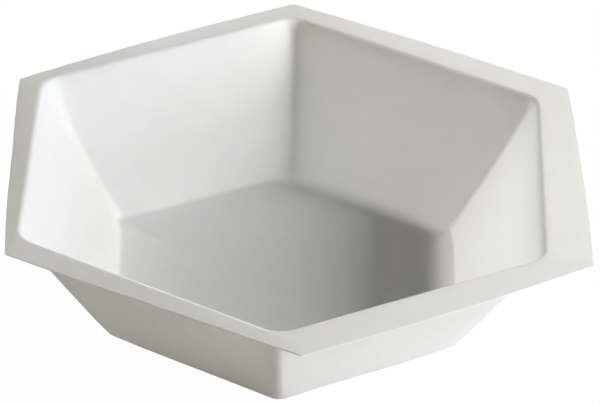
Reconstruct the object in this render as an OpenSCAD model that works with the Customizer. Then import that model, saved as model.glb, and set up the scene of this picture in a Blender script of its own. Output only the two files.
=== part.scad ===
// A weighing boat: a shallow six-sided tray, formed in one piece from thin plastic sheet.
// A flat floor, six sloping walls and a flat rim. The rim was cut from the sheet a little off
// centre and a little turned, so it is wider on one side of the mouth than on the other, and it
// isn't quite level over the floor.
// Z is up, and the origin is the centre of the floor's underside. Corners point along +Y and -Y.

/* [Bowl] */
// Width of the mouth across its flats, where the planes of the walls meet the plane of the rim
mouth_flats = 67; // [58:0.5:100]
// Width of the floor across its flats, where the planes of the walls meet the floor
floor_flats = 45; // [34:0.5:54]
// Depth of the bowl, from the top of the rim to the top of the floor
depth = 19; // [12:0.5:30]

/* [Sheet] */
// Thickness of the sheet, the same all over
sheet = 0.2; // [0.15:0.05:0.5]

/* [Rounding] */
// Radius, seen from above, of the corner between two walls at the mouth
mouth_corner_r = 3.4; // [2.5:0.1:6]
// Radius, seen from above, of the corner between two walls at the floor
floor_corner_r = 2.4; // [2:0.1:4]
// Radius of the fold between the rim and a wall, on the underside
fold_r = 0.3; // [0.1:0.05:0.8]
// Radius of the fillet between the floor and a wall, on the upper side
floor_fillet_r = 1.8; // [0.5:0.1:2.2]

/* [Rim] */
// Mean width of the rim, at the corners of its cut edge
rim_width = 3.5; // [3:0.1:8]
// How far the middle of each cut side bows out past the line between its corners
rim_bow = 0.35; // [0.1:0.05:1]
// Radius of the corners of the cut edge
rim_corner_r = 0.3; // [0.1:0.1:2]
// How far to the right of the mouth's centre the rim was cut
trim_shift_x = 1.4; // [-1.5:0.1:1.5]
// How far behind the mouth's centre the rim was cut
trim_shift_y = -0.5; // [-1:0.1:1]
// How far the cut was turned, anticlockwise from above, in degrees
trim_turn = 2.2; // [-2.5:0.1:2.5]
// How far the rim leans, down at the back and up at the front, in degrees
rim_lean = 0.65; // [-1.5:0.05:1.5]

/* [Hidden] */
SIDES = 6;
HALF_SIDE = 180 / SIDES;  // degrees from the middle of a side to its corner
CORNER_STEPS = 8;  // chords round each corner between two walls
FILLET_STEPS = 6;  // chords down each fold and fillet
BOW_STEPS = 8;  // chords along each bowed side of the rim
CUT_CORNER_STEPS = 4;  // chords round each corner of the cut edge
CLEAR = 1;  // how far the space that is cut out stands up past the rim

rim_top = sheet + depth;
mouth_apothem = mouth_flats / 2;
floor_apothem = floor_flats / 2;
wall_angle = atan2(depth, mouth_apothem - floor_apothem);  // of a wall to the floor
tangent_share = tan(wall_angle / 2);  // of a fillet's radius, from the sharp corner to its tangent

// Centres of the fold at the mouth and of the fillet at the floor, as [apothem, height].
// Both faces of the sheet turn about them.
fold_centre = [mouth_apothem + (fold_r + sheet) * tangent_share, rim_top - fold_r - sheet];
fillet_centre = [floor_apothem - floor_fillet_r * tangent_share, sheet + floor_fillet_r];

// The corner radius between two walls, at a height between the floor and the rim
function wall_corner_r(z) =
    floor_corner_r + (mouth_corner_r - floor_corner_r) * (z - sheet) / depth;

// One level of a face, as [apothem, height, corner radius]. At the fold and at the fillet the
// corner radius grows and shrinks with the apothem, so that the corner's centre stays where it is.
function fold_level(r, slope) =
    let (apothem = fold_centre.x - r * sin(slope),
         wall_apothem = fold_centre.x - r * sin(wall_angle),
         wall_z = fold_centre.y + r * cos(wall_angle))
    [apothem, fold_centre.y + r * cos(slope), wall_corner_r(wall_z) + apothem - wall_apothem];

function fillet_level(r, slope) =
    let (apothem = fillet_centre.x + r * sin(slope),
         wall_apothem = fillet_centre.x + r * sin(wall_angle),
         wall_z = fillet_centre.y - r * cos(wall_angle))
    [apothem, fillet_centre.y - r * cos(slope), wall_corner_r(wall_z) + apothem - wall_apothem];

// The levels of one face of the sheet, from the floor up to the rim. The fold's last chord runs on
// past the rim's face by its own length, so that the two faces cross there.
function face_levels(fillet_radius, fold_radius) = concat(
    [for (i = [0:FILLET_STEPS]) fillet_level(fillet_radius, wall_angle * i / FILLET_STEPS)],
    [for (i = [FILLET_STEPS:-1:1]) fold_level(fold_radius, wall_angle * i / FILLET_STEPS)],
    [2 * fold_level(fold_radius, 0) - fold_level(fold_radius, wall_angle / FILLET_STEPS)]
);

// How much of the rim's lean there is at a height: none of it as far up as the centre of the
// floor's fillet, all of it from the centre of the rim's fold, and an even change between them
function lean_share(z) = max(0, min(1, (z - fillet_centre.y) / (fold_centre.y - fillet_centre.y)));

// A point, turned by its share of the rim's lean about the line along X through the rim's centre
function leaned(x, y, z) =
    let (a = rim_lean * lean_share(z), above = z - rim_top)
    [x, y * cos(a) + above * sin(a), rim_top + above * cos(a) - y * sin(a)];

// A level's outline: a hexagon with round corners, anticlockwise from above
function outline_at(level) =
    let (apothem = level[0], z = level[1], r = level[2], reach = (apothem - r) / cos(HALF_SIDE))
    [for (side = [0:SIDES - 1], i = [0:CORNER_STEPS])
        let (corner = 2 * HALF_SIDE * side + HALF_SIDE,
             a = corner - HALF_SIDE + 2 * HALF_SIDE * i / CORNER_STEPS)
        leaned(reach * cos(corner) + r * cos(a), reach * sin(corner) + r * sin(a), z)];

// A closed solid through a stack of levels, from the lowest to the highest.
// Its sides and its top are triangles, because what leans isn't perfectly flat.
module stack(levels) {
    count = SIDES * (CORNER_STEPS + 1);
    last = count * (len(levels) - 1);
    walls = [for (j = [0:len(levels) - 2], i = [0:count - 1])
        let (k = (i + 1) % count, low = count * j, high = count * (j + 1))
        each [[low + i, high + i, high + k], [low + i, high + k, low + k]]];
    bottom = [for (i = [0:count - 1]) i];
    top = [for (i = [1:count - 2]) [last, last + i + 1, last + i]];
    polyhedron([for (level = levels) each outline_at(level)], concat([bottom], top, walls));
}

// The space inside the bowl, bounded by the sheet's upper face
module bowl_space() {
    levels = face_levels(floor_fillet_r, fold_r + sheet);
    mouth = levels[len(levels) - 1];
    stack(concat(levels, [[mouth[0], rim_top + CLEAR, mouth[2]]]));
}

// The bowl with its space filled in, bounded by the sheet's lower face and standing in the rim
module filled_bowl() {
    levels = face_levels(floor_fillet_r + sheet, fold_r);
    mouth = levels[len(levels) - 1];
    stack(concat(levels, [[mouth[0], rim_top - sheet / 2, mouth[2]]]));
}

// The cut edge of the rim: six shallow arcs, joined by small round corners
function rim_outline() =
    let (chord_apothem = mouth_apothem + rim_width,
         half_chord = chord_apothem * tan(HALF_SIDE),
         bow_r = (pow(half_chord, 2) + pow(rim_bow, 2)) / (2 * rim_bow),
         back = bow_r - rim_bow - chord_apothem,  // from an arc's centre to the rim's
         reach = sqrt(pow(bow_r - rim_corner_r, 2) - pow(back * sin(HALF_SIDE), 2)) - back * cos(HALF_SIDE),
         meet = atan2(reach * sin(HALF_SIDE), reach * cos(HALF_SIDE) + back))
    [for (side = [0:SIDES - 1]) let (facing = 2 * HALF_SIDE * side) each concat(
        [for (i = [0:BOW_STEPS]) let (a = facing - meet + 2 * meet * i / BOW_STEPS)
            bow_r * [cos(a), sin(a)] - back * [cos(facing), sin(facing)]],
        [for (i = [1:CUT_CORNER_STEPS - 1])
            let (corner = facing + HALF_SIDE,
                 a = facing + meet + 2 * (HALF_SIDE - meet) * i / CUT_CORNER_STEPS)
            reach * [cos(corner), sin(corner)] + rim_corner_r * [cos(a), sin(a)]]
    )];

// The rim before the mouth is cut out of it
module rim_plate() {
    translate([0, 0, rim_top])
        rotate([-rim_lean, 0, 0])
            translate([trim_shift_x, trim_shift_y, -sheet])
                rotate(trim_turn)
                    linear_extrude(sheet)
                        polygon(rim_outline());
}

module weighing_boat() {
    color([0.93, 0.93, 0.91])
        difference() {
            union() {
                filled_bowl();
                rim_plate();
            }
            bowl_space();
        }
}

weighing_boat();
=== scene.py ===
"""A weighing boat of thin white plastic, on a pale floor in soft light from the right.

The boat is one formed sheet, built here as one closed thin shell: rings of points run from the middle
of the floor up the walls and out to the cut edge of the rim, round that edge, and back underneath.
"""
import math

import bpy
import numpy as np
from mathutils import Matrix, Vector, noise


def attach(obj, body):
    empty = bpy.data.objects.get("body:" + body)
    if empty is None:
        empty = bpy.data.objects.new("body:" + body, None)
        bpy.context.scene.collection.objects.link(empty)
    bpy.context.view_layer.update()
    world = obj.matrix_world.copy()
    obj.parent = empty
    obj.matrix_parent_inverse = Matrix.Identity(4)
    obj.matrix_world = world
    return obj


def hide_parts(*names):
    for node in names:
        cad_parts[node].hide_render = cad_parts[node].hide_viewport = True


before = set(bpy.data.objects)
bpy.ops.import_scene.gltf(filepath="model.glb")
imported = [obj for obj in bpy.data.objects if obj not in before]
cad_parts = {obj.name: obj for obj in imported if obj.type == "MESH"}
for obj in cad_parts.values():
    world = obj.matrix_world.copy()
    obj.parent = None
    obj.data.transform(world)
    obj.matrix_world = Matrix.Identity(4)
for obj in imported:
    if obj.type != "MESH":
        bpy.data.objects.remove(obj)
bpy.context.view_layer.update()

MM = 0.001

# The boat's sizes in millimetres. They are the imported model's, apart from a rounder fold at the mouth, which
# is seen from close by, and a rim that was cut 0.05 mm further back.
MOUTH_APOTHEM = 67 / 2
FLOOR_APOTHEM = 45 / 2
DEPTH = 19
SHEET = 0.2
FOLD_R = 0.6
RIM_WIDTH = 3.5
RIM_BOW = 0.35
RIM_CORNER_R = 0.3
TRIM_SHIFT = (1.4, -0.45)
TRIM_TURN = math.radians(2.2)
RIM_LEAN = math.radians(0.65)

# A formed sheet isn't an even hexagon, so many of its sizes change round it. A list of six is for the sides,
# which face 0, 60 and so on to 300 degrees round from +X, or for the corners after them, at 30, 90 and so on
# to 330 degrees. A list of twelve is for the middles and the corners of the sides in turn.

# The creases between the walls are tight, and open into wider corners at the floor and at the mouth: the
# corners' radii there, and how far down or up from there they reach
CREASE_R = np.array([0.9, 0.9, 1.4, 1.4, 1.4, 1.2])
FLOOR_CORNER_R = 2.8
FLOOR_CORNER_REACH = 4
MOUTH_CORNER_R = np.array([3.8, 3.8, 5, 3.8, 3.8, 3.8])
MOUTH_CORNER_REACH = np.array([3, 3, 9, 4, 4, 4])

# How far in each wall stands at its top, halfway up and at its foot, and how much further in its foot is at
# its middle and its corners
TOP_IN = np.array([0.38, 0.15, 0, 0.2, 0.05, 0.05])
MIDDLE_IN = np.array([0.05, -0.1, 0.25, 0.35, 0.1, 0])
FOOT_IN = np.array([0.15, -0.25, 0, 0.5, 0.1, -0.05])
FOOT_BOW = (0.35, 0.6, 0, 0.1, -0.2, -0.4, 0.5, 0, 0, -0.05, -0.05, 0.1)

# The floor curls up off the table towards its edge, where a fillet joins it to the walls: how steep it is
# there, how high it has risen, and the fillet's radius
CURL_SLOPE = np.radians([33, 33, 8, 8, 10, 11, 12, 12, 12, 12, 18, 33])
CURL_RISE = np.array([1.1, 0.7, 0.02, 0.05, 0.3, 0.5, 0.7, 0.5, 0.2, 0.2, 0.45, 0.9])
FILLET_R = np.array([1.2, 1.5, 2.4, 1.6, 1, 1.2, 1.2, 1.2, 1.2, 1.2, 1.2, 1.2])
CURL_POWER = 3

# How fast a side's middle value gives way to those of its corners, as a power of the way along it
CORNER_FADE = 4

# The rim's cut edge isn't quite even: how much further out it was cut, and how far it stands above the rim's
# plane
RIM_PUSH = (0.05, -0.1, 0.25, -0.05, -0.45, 0, -0.1, 0.1, -0.38, -0.1, 0.05, 0.25)
RIM_LIFT = (-0.2, -0.1, -0.2, 0, 0.36, -0.1, -0.25, -0.15, -0.25, -0.15, -0.33, -0.27)

# The shears left small nicks in the cut edge, and pinched it thin, by most from below
NICK_DEPTH = 0.07
NICK_LENGTH = 1.6
LIP_WIDTH = 0.2
LIP_DROP = 0.02
LIP_SHEET = 0.07

# How far the sheet was stretched, where the rim is 0: at the floor's middle and its edge, and at the feet and
# the tops of the walls. The last list is the share of the walls' stretch that is kept at each part of them.
FLOOR_STRETCH = 0.2
CURL_STRETCH = np.array([1, 1, 0.4, 0.3, 0.2, 0.2, 0.1, 0.2, 0.5, 0.5, 0.6, 0.9])
FOOT_STRETCH = np.array([1.1, 0.75, 0.6, 0.5, 1.15, 0.8])
TOP_STRETCH = np.array([1.6, 1.6, 1.65, 1.5, 0.5, 0.7])
KEPT_SHARE = (1, 0.8, 1, 0, 1, 1, 1, 1, 1, 1, 1, 1)

# Painted shade in the crease at 90 degrees: how much darker the sheet's colour is painted there, how fast that
# fades away from the crease, and how far it takes to come in above the floor and to go out below the rim
PAINTED_CREASE_SHADE = (0, 0, 0, 0.08, 0, 0, 0, 0, 0, 0, 0, 0)
PAINTED_SHADE_FADE = 14
PAINTED_SHADE_RISE = 1.5

# The sheet's colours, its roughness, and the lumps in it: their sizes and heights in millimetres, and how
# many times finer lumps are added to them
SHEET_LIGHT = (0.958, 0.954, 0.931, 1)
SHEET_DARK = (0.91, 0.905, 0.882, 1)
# The colour that the painted shade in the crease darkens the sheet towards
PAINTED_SHADE_COLOUR = (0, 0, 0, 1)
SHEET_ROUGHNESS = (0.45, 0.65)
MOTTLE_SIZE = 3
MOTTLE_HEIGHT = 0.03
MOTTLE_DETAIL = 3
GRAIN_SIZE = 0.35
GRAIN_HEIGHT = 0.014
GRAIN_DETAIL = 2

# How far light reaches inside the sheet, in millimetres where it isn't stretched and where its stretch is 1,
# and how that differs for red, green and blue
LIGHT_REACH = (0.2, 0.9)
LIGHT_REACH_RGB = (1, 0.98, 0.93)

# The floor: how far it is under the boat, so that no two faces lie at one height, and its width, both in
# millimetres. The boat is lit by its pale paper. The camera sees it nearly white, with the boat's faint
# shadow on it, and sees the backdrop nearly white too.
FLOOR_GAP = 0.02
FLOOR_SIZE = 6000
PAPER = (0.55, 0.545, 0.53, 1)
SHADOW_TONE = (0.04, 0.04, 0.04, 1)
FLOOR_GLOW = 0.98
BACKDROP_WHITE = (0.99, 0.99, 0.99, 1)

# The camera: its turn round the boat, its height over the floor and its roll, what it is aimed at and how far
# off that is in millimetres, its lens and sensor in millimetres, and how near and far it sees in metres
CAMERA_TURN = math.radians(0.303)
CAMERA_HEIGHT = math.radians(33.303)
CAMERA_ROLL = math.radians(2.032)
CAMERA_AIM = Vector((1.933, -8.677, SHEET + DEPTH))
CAMERA_DISTANCE = 530.74
CAMERA_LENS = 247.76
CAMERA_SENSOR = 36
CAMERA_NEAR = 0.01
CAMERA_FAR = 20

# The lights: a soft one close by on the right, low ones under it, and weak ones all round. Each has the way
# to it from the boat, as degrees anticlockwise from +X and degrees up, then its distance and its size in
# metres, and what it gives at the boat, in watts to the square metre of red, green and blue.
LIGHTS = (
    ("key", 0, 28.7, 0.4, 0.16, (2.63, 2.59, 2.49)),
    ("low_front", -25, 4, 0.5, 0.16, (2.18, 2.06, 1.86)),
    ("low", 0, 4, 0.5, 0.16, (0.68, 0.88, 1.24)),
    ("front", -30, 28, 0.45, 0.14, (0.26, 0.29, 0.37)),
    ("back", 135, 8, 0.9, 0.5, (0.67, 0.91, 1.22)),
    ("back_right", 90, 11, 0.6, 0.3, (0.77, 0.67, 0.45)),
    ("left", 180, 40, 0.9, 0.5, (0.46, 0.47, 0.42)),
    ("left_low", 180, 12, 0.9, 0.5, (0.38, 0.19, 0.02)),
)
LIGHT_BOUNCES = 8

SIDES = 6
SIDE_TURN = 2 * math.pi / SIDES
HALF_SIDE = SIDE_TURN / 2

# How many faces the mesh has along each side, round each corner, and across each stretch of the sheet
SIDE_STEPS = 44
CORNER_STEPS = 14
FILLET_STEPS = 8
FLOOR_STEPS = 8
CURL_STEPS = 8
WALL_STEPS = 24
RIM_STEPS = 8
LIP_STEPS = 6

RIM_TOP = SHEET + DEPTH
WALL_ANGLE = math.atan2(DEPTH, MOUTH_APOTHEM - FLOOR_APOTHEM)
TANGENT_SHARE = math.tan(WALL_ANGLE / 2)
LEAN_FROM = SHEET + FILLET_R.min()


# A level is a ring round the sheet, as four arrays with a value for each of its points: how far out its side
# is there, the height, how far the sheet was stretched, and the radius of the corner that follows the side.

def by_side(values):
    """A list of six, as a value for each point of a level."""
    return np.repeat(values, SIDE_STEPS + CORNER_STEPS)


def by_part(values, fade=CORNER_FADE):
    """A list of twelve, as a value for each point of a level."""
    t = 2 * np.arange(SIDE_STEPS) / SIDE_STEPS - 1
    parts = []
    for side in range(SIDES):
        before, middle, after = values[2 * side - 1], values[2 * side], values[2 * side + 1]
        parts.append(middle + (np.where(t < 0, before, after) - middle) * np.abs(t) ** fade)
        parts.append(np.full(CORNER_STEPS, after))
    return np.concatenate(parts)


# The lists of sizes, and what follows from them, with a value for each point of a level
SLOPE = by_part(CURL_SLOPE)
RISE = by_part(CURL_RISE)
STRETCH = by_part(CURL_STRETCH)
KEPT = by_part(KEPT_SHARE)
FILLET = by_part(FILLET_R)
FOLD_CENTRE = (MOUTH_APOTHEM + (FOLD_R + SHEET) * TANGENT_SHARE - by_side(TOP_IN), RIM_TOP - FOLD_R - SHEET)
FOOT = FLOOR_APOTHEM - by_side(FOOT_IN) - by_part(FOOT_BOW)
FILLET_CENTRE = (FOOT - FILLET * TANGENT_SHARE + RISE / math.tan(WALL_ANGLE), SHEET + FILLET + RISE)
WALL_BOW = by_side(MIDDLE_IN - (TOP_IN + FOOT_IN) / 2)


def wall_corner_r(z):
    """The radii of the corners between the walls, at heights between the floor and the rim."""
    mouth = np.clip(1 - (RIM_TOP - z) / by_side(MOUTH_CORNER_REACH), 0, 1)
    floor = np.clip(1 - (z - SHEET) / FLOOR_CORNER_REACH, 0, 1)
    crease = by_side(CREASE_R)
    return crease + (by_side(MOUTH_CORNER_R) - crease) * mouth**2 + (FLOOR_CORNER_R - crease) * floor**2


def fold_level(r, slope):
    """One level of the fold at the mouth."""
    apothem = FOLD_CENTRE[0] - r * math.sin(slope)
    wall_z = FOLD_CENTRE[1] + r * math.cos(WALL_ANGLE)
    widened = r * (math.sin(WALL_ANGLE) - math.sin(slope))
    z = np.full(len(apothem), FOLD_CENTRE[1] + r * math.cos(slope))
    stretch = by_side(TOP_STRETCH) * KEPT * math.sqrt(slope / WALL_ANGLE)
    return apothem, z, stretch, wall_corner_r(wall_z) + widened


def fillet_level(r, share):
    """One level of the fillet at the floor, a share of the way up it."""
    slope = SLOPE + (WALL_ANGLE - SLOPE) * share
    apothem = FILLET_CENTRE[0] + r * np.sin(slope)
    wall_z = FILLET_CENTRE[1] - r * math.cos(WALL_ANGLE)
    narrowed = r * (math.sin(WALL_ANGLE) - math.sin(WALL_ANGLE * share))
    stretch = STRETCH + (by_side(FOOT_STRETCH) * KEPT - STRETCH) * share
    return apothem, FILLET_CENTRE[1] - r * np.cos(slope), stretch, wall_corner_r(wall_z) - narrowed


def floor_levels(face_z, fillet_radius):
    """The levels of the floor, up to its fillet: flat in the middle, and curling up towards the edge."""
    apothem, z, _, corner_r = fillet_level(fillet_radius, 0)
    width = CURL_POWER * (z - face_z) / np.tan(SLOPE)
    flat = apothem - width
    level_z = np.full(len(apothem), face_z)
    floor_stretch = np.full(len(apothem), FLOOR_STRETCH)
    levels = []
    for i in range(1, FLOOR_STEPS + 1):
        share = i / FLOOR_STEPS
        levels.append((flat * share, level_z, floor_stretch, corner_r * share))
    for i in range(1, CURL_STEPS):
        t = i / CURL_STEPS
        stretch = FLOOR_STRETCH + (STRETCH - FLOOR_STRETCH) * math.sqrt(t)
        levels.append((flat + width * t, face_z + (z - face_z) * t**CURL_POWER, stretch, corner_r))
    return levels


def face_levels(face_z, fillet_radius, fold_radius):
    """The levels of one face of the sheet, from a small ring on the floor up to the edge of the rim."""
    fillet = [fillet_level(fillet_radius, i / FILLET_STEPS) for i in range(FILLET_STEPS + 1)]
    fold = [fold_level(fold_radius, WALL_ANGLE * (1 - i / FILLET_STEPS)) for i in range(FILLET_STEPS + 1)]
    low, low_z = fillet[-1][:2]
    high, high_z = fold[0][:2]
    wall = []
    for i in range(1, WALL_STEPS):
        t = i / WALL_STEPS
        z = low_z + (high_z - low_z) * t
        apothem = low + (high - low) * t - WALL_BOW * 4 * t * (1 - t)
        stretch = by_side(FOOT_STRETCH + (TOP_STRETCH - FOOT_STRETCH) * t) * KEPT
        wall.append((apothem, z, stretch, wall_corner_r(z)))
    return floor_levels(face_z, fillet_radius) + fillet + wall + fold


def turned(x, y, a):
    """A point, turned anticlockwise."""
    return x * math.cos(a) - y * math.sin(a), x * math.sin(a) + y * math.cos(a)


def along_side(here, beside, r):
    """How far along a side the corner of radius r begins, where the sides it joins are this far out."""
    return (beside - r - (here - r) * math.cos(SIDE_TURN)) / math.sin(SIDE_TURN)


def hexagon(level):
    """Points round a level and their stretch, anticlockwise from the start of the side that faces +X."""
    apothem, z, stretch, corner_r = (v.reshape(SIDES, -1) for v in level)
    points = []
    for side in range(SIDES):
        facing = SIDE_TURN * side
        here, r = apothem[side], corner_r[side, -1]
        start = along_side(here[0], apothem[side - 1, -1], corner_r[side - 1, -1])
        end = along_side(here[-1], apothem[(side + 1) % SIDES, 0], r)
        for i in range(SIDE_STEPS):
            points.append(turned(here[i], -start + (start + end) * i / SIDE_STEPS, facing))
        for i in range(CORNER_STEPS):
            a = SIDE_TURN * i / CORNER_STEPS
            points.append(turned(here[-1] - r + r * math.cos(a), end + r * math.sin(a), facing))
    return np.column_stack([points, z.ravel(), stretch.ravel()])


def cut_outline():
    """The cut edge of the rim, seen from above: six shallow arcs, joined by small round corners."""
    chord_apothem = MOUTH_APOTHEM + RIM_WIDTH
    half_chord = chord_apothem * math.tan(HALF_SIDE)
    bow_r = (half_chord**2 + RIM_BOW**2) / (2 * RIM_BOW)
    back = bow_r - RIM_BOW - chord_apothem
    inner_r = bow_r - RIM_CORNER_R
    reach = math.sqrt(inner_r**2 - (back * math.sin(HALF_SIDE)) ** 2) - back * math.cos(HALF_SIDE)
    meet = math.atan2(reach * math.sin(HALF_SIDE), reach * math.cos(HALF_SIDE) + back)
    points = []
    for side in range(SIDES):
        facing = SIDE_TURN * side + TRIM_TURN
        for i in range(SIDE_STEPS):
            a = meet * (2 * i / SIDE_STEPS - 1)
            points.append(turned(bow_r * math.cos(a) - back, bow_r * math.sin(a), facing))
        centre = turned(reach, 0, facing + HALF_SIDE)
        for i in range(CORNER_STEPS):
            a = meet + 2 * (HALF_SIDE - meet) * i / CORNER_STEPS
            x, y = turned(RIM_CORNER_R, 0, facing + a)
            points.append((centre[0] + x, centre[1] + y))
    points = np.array(points) + np.array(TRIM_SHIFT)
    push = round_the_rim(RIM_PUSH, points)
    push += [NICK_DEPTH * noise.noise(Vector((x, y, 0)) / NICK_LENGTH) for x, y in points]
    return points * (1 + push / np.linalg.norm(points, axis=1))[:, None]


def leaned(points):
    """Points and their stretch, with the points turned with the rim by their share of its lean."""
    x, y, z, stretch = points.T
    a = RIM_LEAN * np.clip((z - LEAN_FROM) / (FOLD_CENTRE[1] - LEAN_FROM), 0, 1)
    above = z - RIM_TOP
    y, z = y * np.cos(a) + above * np.sin(a), RIM_TOP + above * np.cos(a) - y * np.sin(a)
    return np.column_stack([x, y, z, stretch])


def round_the_rim(values, points):
    """A list of twelve, at points round the rim. It is cubic between its values."""
    step = np.arctan2(points[:, 1], points[:, 0]) / HALF_SIDE
    last = np.floor(step).astype(int)
    t = step - last
    before, low, high, after = (np.take(values, last + k, mode="wrap") for k in (-1, 0, 1, 2))
    bend = 2 * before - 5 * low + 4 * high - after
    twist = 3 * (low - high) + after - before
    return low + t * (high - before + t * (bend + t * twist)) / 2


def rim_ring(mouth, cut, share, depth):
    """A ring on the rim, a share of the way from fold to cut edge and depth under its upper face."""
    xy = mouth + (cut - mouth) * share[:, None]
    ring = leaned(np.column_stack([xy, np.full(len(xy), RIM_TOP - depth), np.zeros(len(xy))]))
    ring[:, 2] += round_the_rim(RIM_LIFT, cut) * share
    return ring


def shell_rings():
    """The shell's rings in order, from the middle of the floor's upper face to that of its lower face."""
    upper = face_levels(SHEET, FILLET, FOLD_R + SHEET)
    lower = face_levels(0, FILLET + SHEET, FOLD_R)
    mouth = hexagon(upper[-1])[:, :2]
    cut = cut_outline()
    width = np.linalg.norm(cut - mouth, axis=1)
    lip = 1 - LIP_WIDTH / width
    rings = [leaned(hexagon(level)) for level in upper]
    rings += [rim_ring(mouth, cut, lip * i / RIM_STEPS, 0) for i in range(1, RIM_STEPS + 1)]
    for i in range(1, LIP_STEPS + 1):
        a = math.pi / 2 * i / LIP_STEPS
        rings.append(rim_ring(mouth, cut, lip + (1 - lip) * math.sin(a), LIP_DROP * (1 - math.cos(a))))
    rings.append(rim_ring(mouth, cut, np.ones(len(lip)), LIP_SHEET))
    rings += [rim_ring(mouth, cut, lip * i / RIM_STEPS, SHEET) for i in range(RIM_STEPS, 0, -1)]
    rings += [leaned(hexagon(level)) for level in reversed(lower)]
    return rings


def painted_crease_shade(points):
    """How much darker the sheet's colour is painted at each of the shell's points, as painted shade in the
    crease.
    """
    around = by_part(PAINTED_CREASE_SHADE, PAINTED_SHADE_FADE)
    rings = points[1:-1, 2].reshape(-1, len(around))
    up = np.clip((rings - SHEET) / PAINTED_SHADE_RISE, 0, 1) * np.clip((RIM_TOP - rings) / PAINTED_SHADE_RISE, 0, 1)
    return np.concatenate([[0], (around * up).ravel(), [0]])


def build_shell(name):
    """The closed shell as one mesh object, in metres."""
    rings = shell_rings()
    count = len(rings[0])
    top_middle = [[0, 0, SHEET, FLOOR_STRETCH]]
    under_middle = [[0, 0, 0, FLOOR_STRETCH]]
    points = np.vstack([top_middle, *rings, under_middle])
    faces = []
    last = len(points) - 1
    base = last - count
    for i in range(count):
        k = (i + 1) % count
        faces.append((0, 1 + i, 1 + k))
        faces.append((last, base + k, base + i))
        for j in range(len(rings) - 1):
            low = 1 + count * j
            high = low + count
            faces.append((low + i, high + i, high + k, low + k))
    mesh = bpy.data.meshes.new(name)
    mesh.from_pydata((points[:, :3] * MM).tolist(), [], faces)
    mesh.update()
    mesh.shade_smooth()
    stretched = mesh.attributes.new("stretched", "FLOAT", "POINT")
    stretched.data.foreach_set("value", points[:, 3])
    # The painted shade in the crease, as a value for each point
    shade = mesh.attributes.new("painted_crease_shade", "FLOAT", "POINT")
    shade.data.foreach_set("value", painted_crease_shade(points))
    shell = bpy.data.objects.new(name, mesh)
    bpy.context.scene.collection.objects.link(shell)
    return shell


def lumps(nodes, links, where, size, detail):
    """A noise texture whose lumps are about size millimetres across."""
    texture = nodes.new("ShaderNodeTexNoise")
    texture.inputs["Scale"].default_value = 1 / (size * MM)
    texture.inputs["Detail"].default_value = detail
    links.new(where, texture.inputs["Vector"])
    return texture.outputs[0]


def ranged(nodes, links, value, low, high):
    """A value from 0 to 1, spread from low to high. A value over 1 goes past high."""
    spread = nodes.new("ShaderNodeMapRange")
    spread.clamp = False
    spread.inputs["To Min"].default_value = low
    spread.inputs["To Max"].default_value = high
    links.new(value, spread.inputs["Value"])
    return spread.outputs[0]


def attribute(nodes, name):
    """One of the mesh's attributes, as a value."""
    node = nodes.new("ShaderNodeAttribute")
    node.attribute_name = name
    return node.outputs["Fac"]


def mixed(nodes, links, factor, first, second):
    """A colour between two, where each is a colour or a socket that gives one."""
    mix = nodes.new("ShaderNodeMix")
    mix.data_type = "RGBA"
    links.new(factor, mix.inputs["Factor"])
    for end, colour in (("A", first), ("B", second)):
        if isinstance(colour, tuple):
            mix.inputs[end].default_value = colour
        else:
            links.new(colour, mix.inputs[end])
    return mix.outputs["Result"]


def raised(nodes, links, value, height):
    """A bump that rises by height millimetres as a value goes from 0 to 1."""
    bump = nodes.new("ShaderNodeBump")
    bump.inputs["Distance"].default_value = height * MM
    links.new(value, bump.inputs["Height"])
    return bump


def sheet_material():
    """Matte white plastic. It lets some light through, and more of it where it was stretched thin."""
    material = bpy.data.materials.new("white_sheet")
    material.use_nodes = True
    nodes, links = material.node_tree.nodes, material.node_tree.links
    shader = nodes["Principled BSDF"]
    shader.inputs["Subsurface Weight"].default_value = 1
    shader.inputs["Subsurface Radius"].default_value = LIGHT_REACH_RGB
    where = nodes.new("ShaderNodeTexCoord").outputs["Object"]
    mottle = lumps(nodes, links, where, MOTTLE_SIZE, MOTTLE_DETAIL)
    grain = lumps(nodes, links, where, GRAIN_SIZE, GRAIN_DETAIL)
    colour = mixed(nodes, links, mottle, SHEET_LIGHT, SHEET_DARK)
    # Painted shade: the sheet's colour is darkened towards black in the crease at 90 degrees
    colour = mixed(nodes, links, attribute(nodes, "painted_crease_shade"), colour, PAINTED_SHADE_COLOUR)
    reach = ranged(nodes, links, attribute(nodes, "stretched"), LIGHT_REACH[0] * MM, LIGHT_REACH[1] * MM)
    links.new(colour, shader.inputs["Base Color"])
    links.new(ranged(nodes, links, grain, *SHEET_ROUGHNESS), shader.inputs["Roughness"])
    links.new(reach, shader.inputs["Subsurface Scale"])
    waves = raised(nodes, links, mottle, MOTTLE_HEIGHT)
    bumps = raised(nodes, links, grain, GRAIN_HEIGHT)
    links.new(waves.outputs[0], bumps.inputs["Normal"])
    links.new(bumps.outputs[0], shader.inputs["Normal"])
    return material


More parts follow.
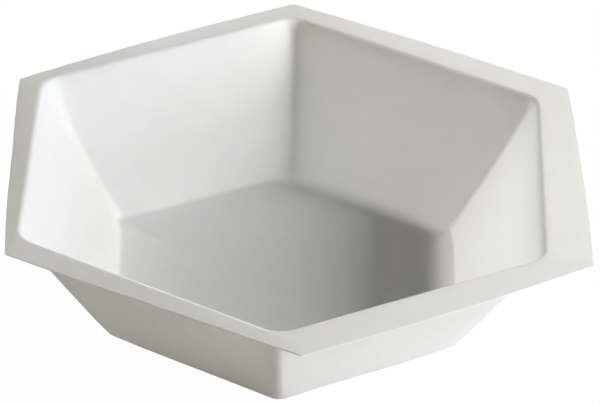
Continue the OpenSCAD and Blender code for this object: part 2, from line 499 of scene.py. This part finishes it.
def build_floor():
    """A wide floor. What the boat sees of it is pale paper, and the camera sees it nearly white."""
    bpy.ops.mesh.primitive_plane_add(size=FLOOR_SIZE * MM)
    floor = bpy.context.object
    floor.name = "floor"
    floor.location.z = -FLOOR_GAP * MM
    material = bpy.data.materials.new("floor_paper")
    material.use_nodes = True
    nodes, links = material.node_tree.nodes, material.node_tree.links
    nodes.clear()
    path = nodes.new("ShaderNodeLightPath")
    paper = nodes.new("ShaderNodeBsdfDiffuse")
    paper.inputs["Color"].default_value = PAPER
    faint = nodes.new("ShaderNodeBsdfDiffuse")
    faint.inputs["Color"].default_value = SHADOW_TONE
    glow = nodes.new("ShaderNodeEmission")
    glow.inputs["Strength"].default_value = FLOOR_GLOW
    white = nodes.new("ShaderNodeAddShader")
    mix = nodes.new("ShaderNodeMixShader")
    output = nodes.new("ShaderNodeOutputMaterial")
    links.new(faint.outputs[0], white.inputs[0])
    links.new(glow.outputs[0], white.inputs[1])
    links.new(path.outputs["Is Camera Ray"], mix.inputs[0])
    links.new(paper.outputs[0], mix.inputs[1])
    links.new(white.outputs[0], mix.inputs[2])
    links.new(mix.outputs[0], output.inputs["Surface"])
    floor.data.materials.append(material)


def build_backdrop():
    """A white backdrop, which only the camera sees: it gives no light."""
    world = bpy.data.worlds.new("world")
    bpy.context.scene.world = world
    world.use_nodes = True
    nodes, links = world.node_tree.nodes, world.node_tree.links
    nodes.clear()
    path = nodes.new("ShaderNodeLightPath")
    backdrop = nodes.new("ShaderNodeBackground")
    backdrop.inputs["Color"].default_value = BACKDROP_WHITE
    output = nodes.new("ShaderNodeOutputWorld")
    links.new(path.outputs["Is Camera Ray"], backdrop.inputs["Strength"])
    links.new(backdrop.outputs[0], output.inputs["Surface"])


def build_camera():
    """The camera, at the angle from which the boat was photographed."""
    turn, height, roll = CAMERA_TURN, CAMERA_HEIGHT, CAMERA_ROLL
    level = Vector((math.cos(turn), math.sin(turn), 0))
    back = Vector((math.sin(turn) * math.cos(height), -math.cos(turn) * math.cos(height), math.sin(height)))
    upright = back.cross(level)
    right = level * math.cos(roll) + upright * math.sin(roll)
    up = upright * math.cos(roll) - level * math.sin(roll)
    place = (CAMERA_AIM + back * CAMERA_DISTANCE) * MM
    data = bpy.data.cameras.new("camera")
    data.sensor_width = CAMERA_SENSOR
    data.lens = CAMERA_LENS
    data.clip_start = CAMERA_NEAR
    data.clip_end = CAMERA_FAR
    camera = bpy.data.objects.new("camera", data)
    camera.matrix_world = Matrix.Translation(place) @ Matrix((right, up, back)).transposed().to_4x4()
    bpy.context.scene.collection.objects.link(camera)
    bpy.context.scene.camera = camera


def area_light(name, azimuth, elevation, distance, size, strength):
    """A square light that faces the boat, as LIGHTS gives it."""
    a, e = math.radians(azimuth), math.radians(elevation)
    way = Vector((math.cos(a) * math.cos(e), math.sin(a) * math.cos(e), math.sin(e)))
    data = bpy.data.lights.new(name, "AREA")
    data.size = size
    data.energy = max(strength) * math.pi * distance**2
    data.color = [s / max(strength) for s in strength]
    light = bpy.data.objects.new(name, data)
    light.location = way * distance + Vector((0, 0, RIM_TOP / 2 * MM))
    light.rotation_euler = way.to_track_quat("Z", "Y").to_euler()
    bpy.context.scene.collection.objects.link(light)


boat = build_shell("boat_sheet")
boat.data.materials.append(sheet_material())
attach(boat, "root")
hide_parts("weighing_boat")
build_floor()
build_backdrop()
build_camera()
for light in LIGHTS:
    area_light(*light)
bpy.context.scene.view_settings.view_transform = "Standard"
bpy.context.scene.cycles.diffuse_bounces = LIGHT_BOUNCES
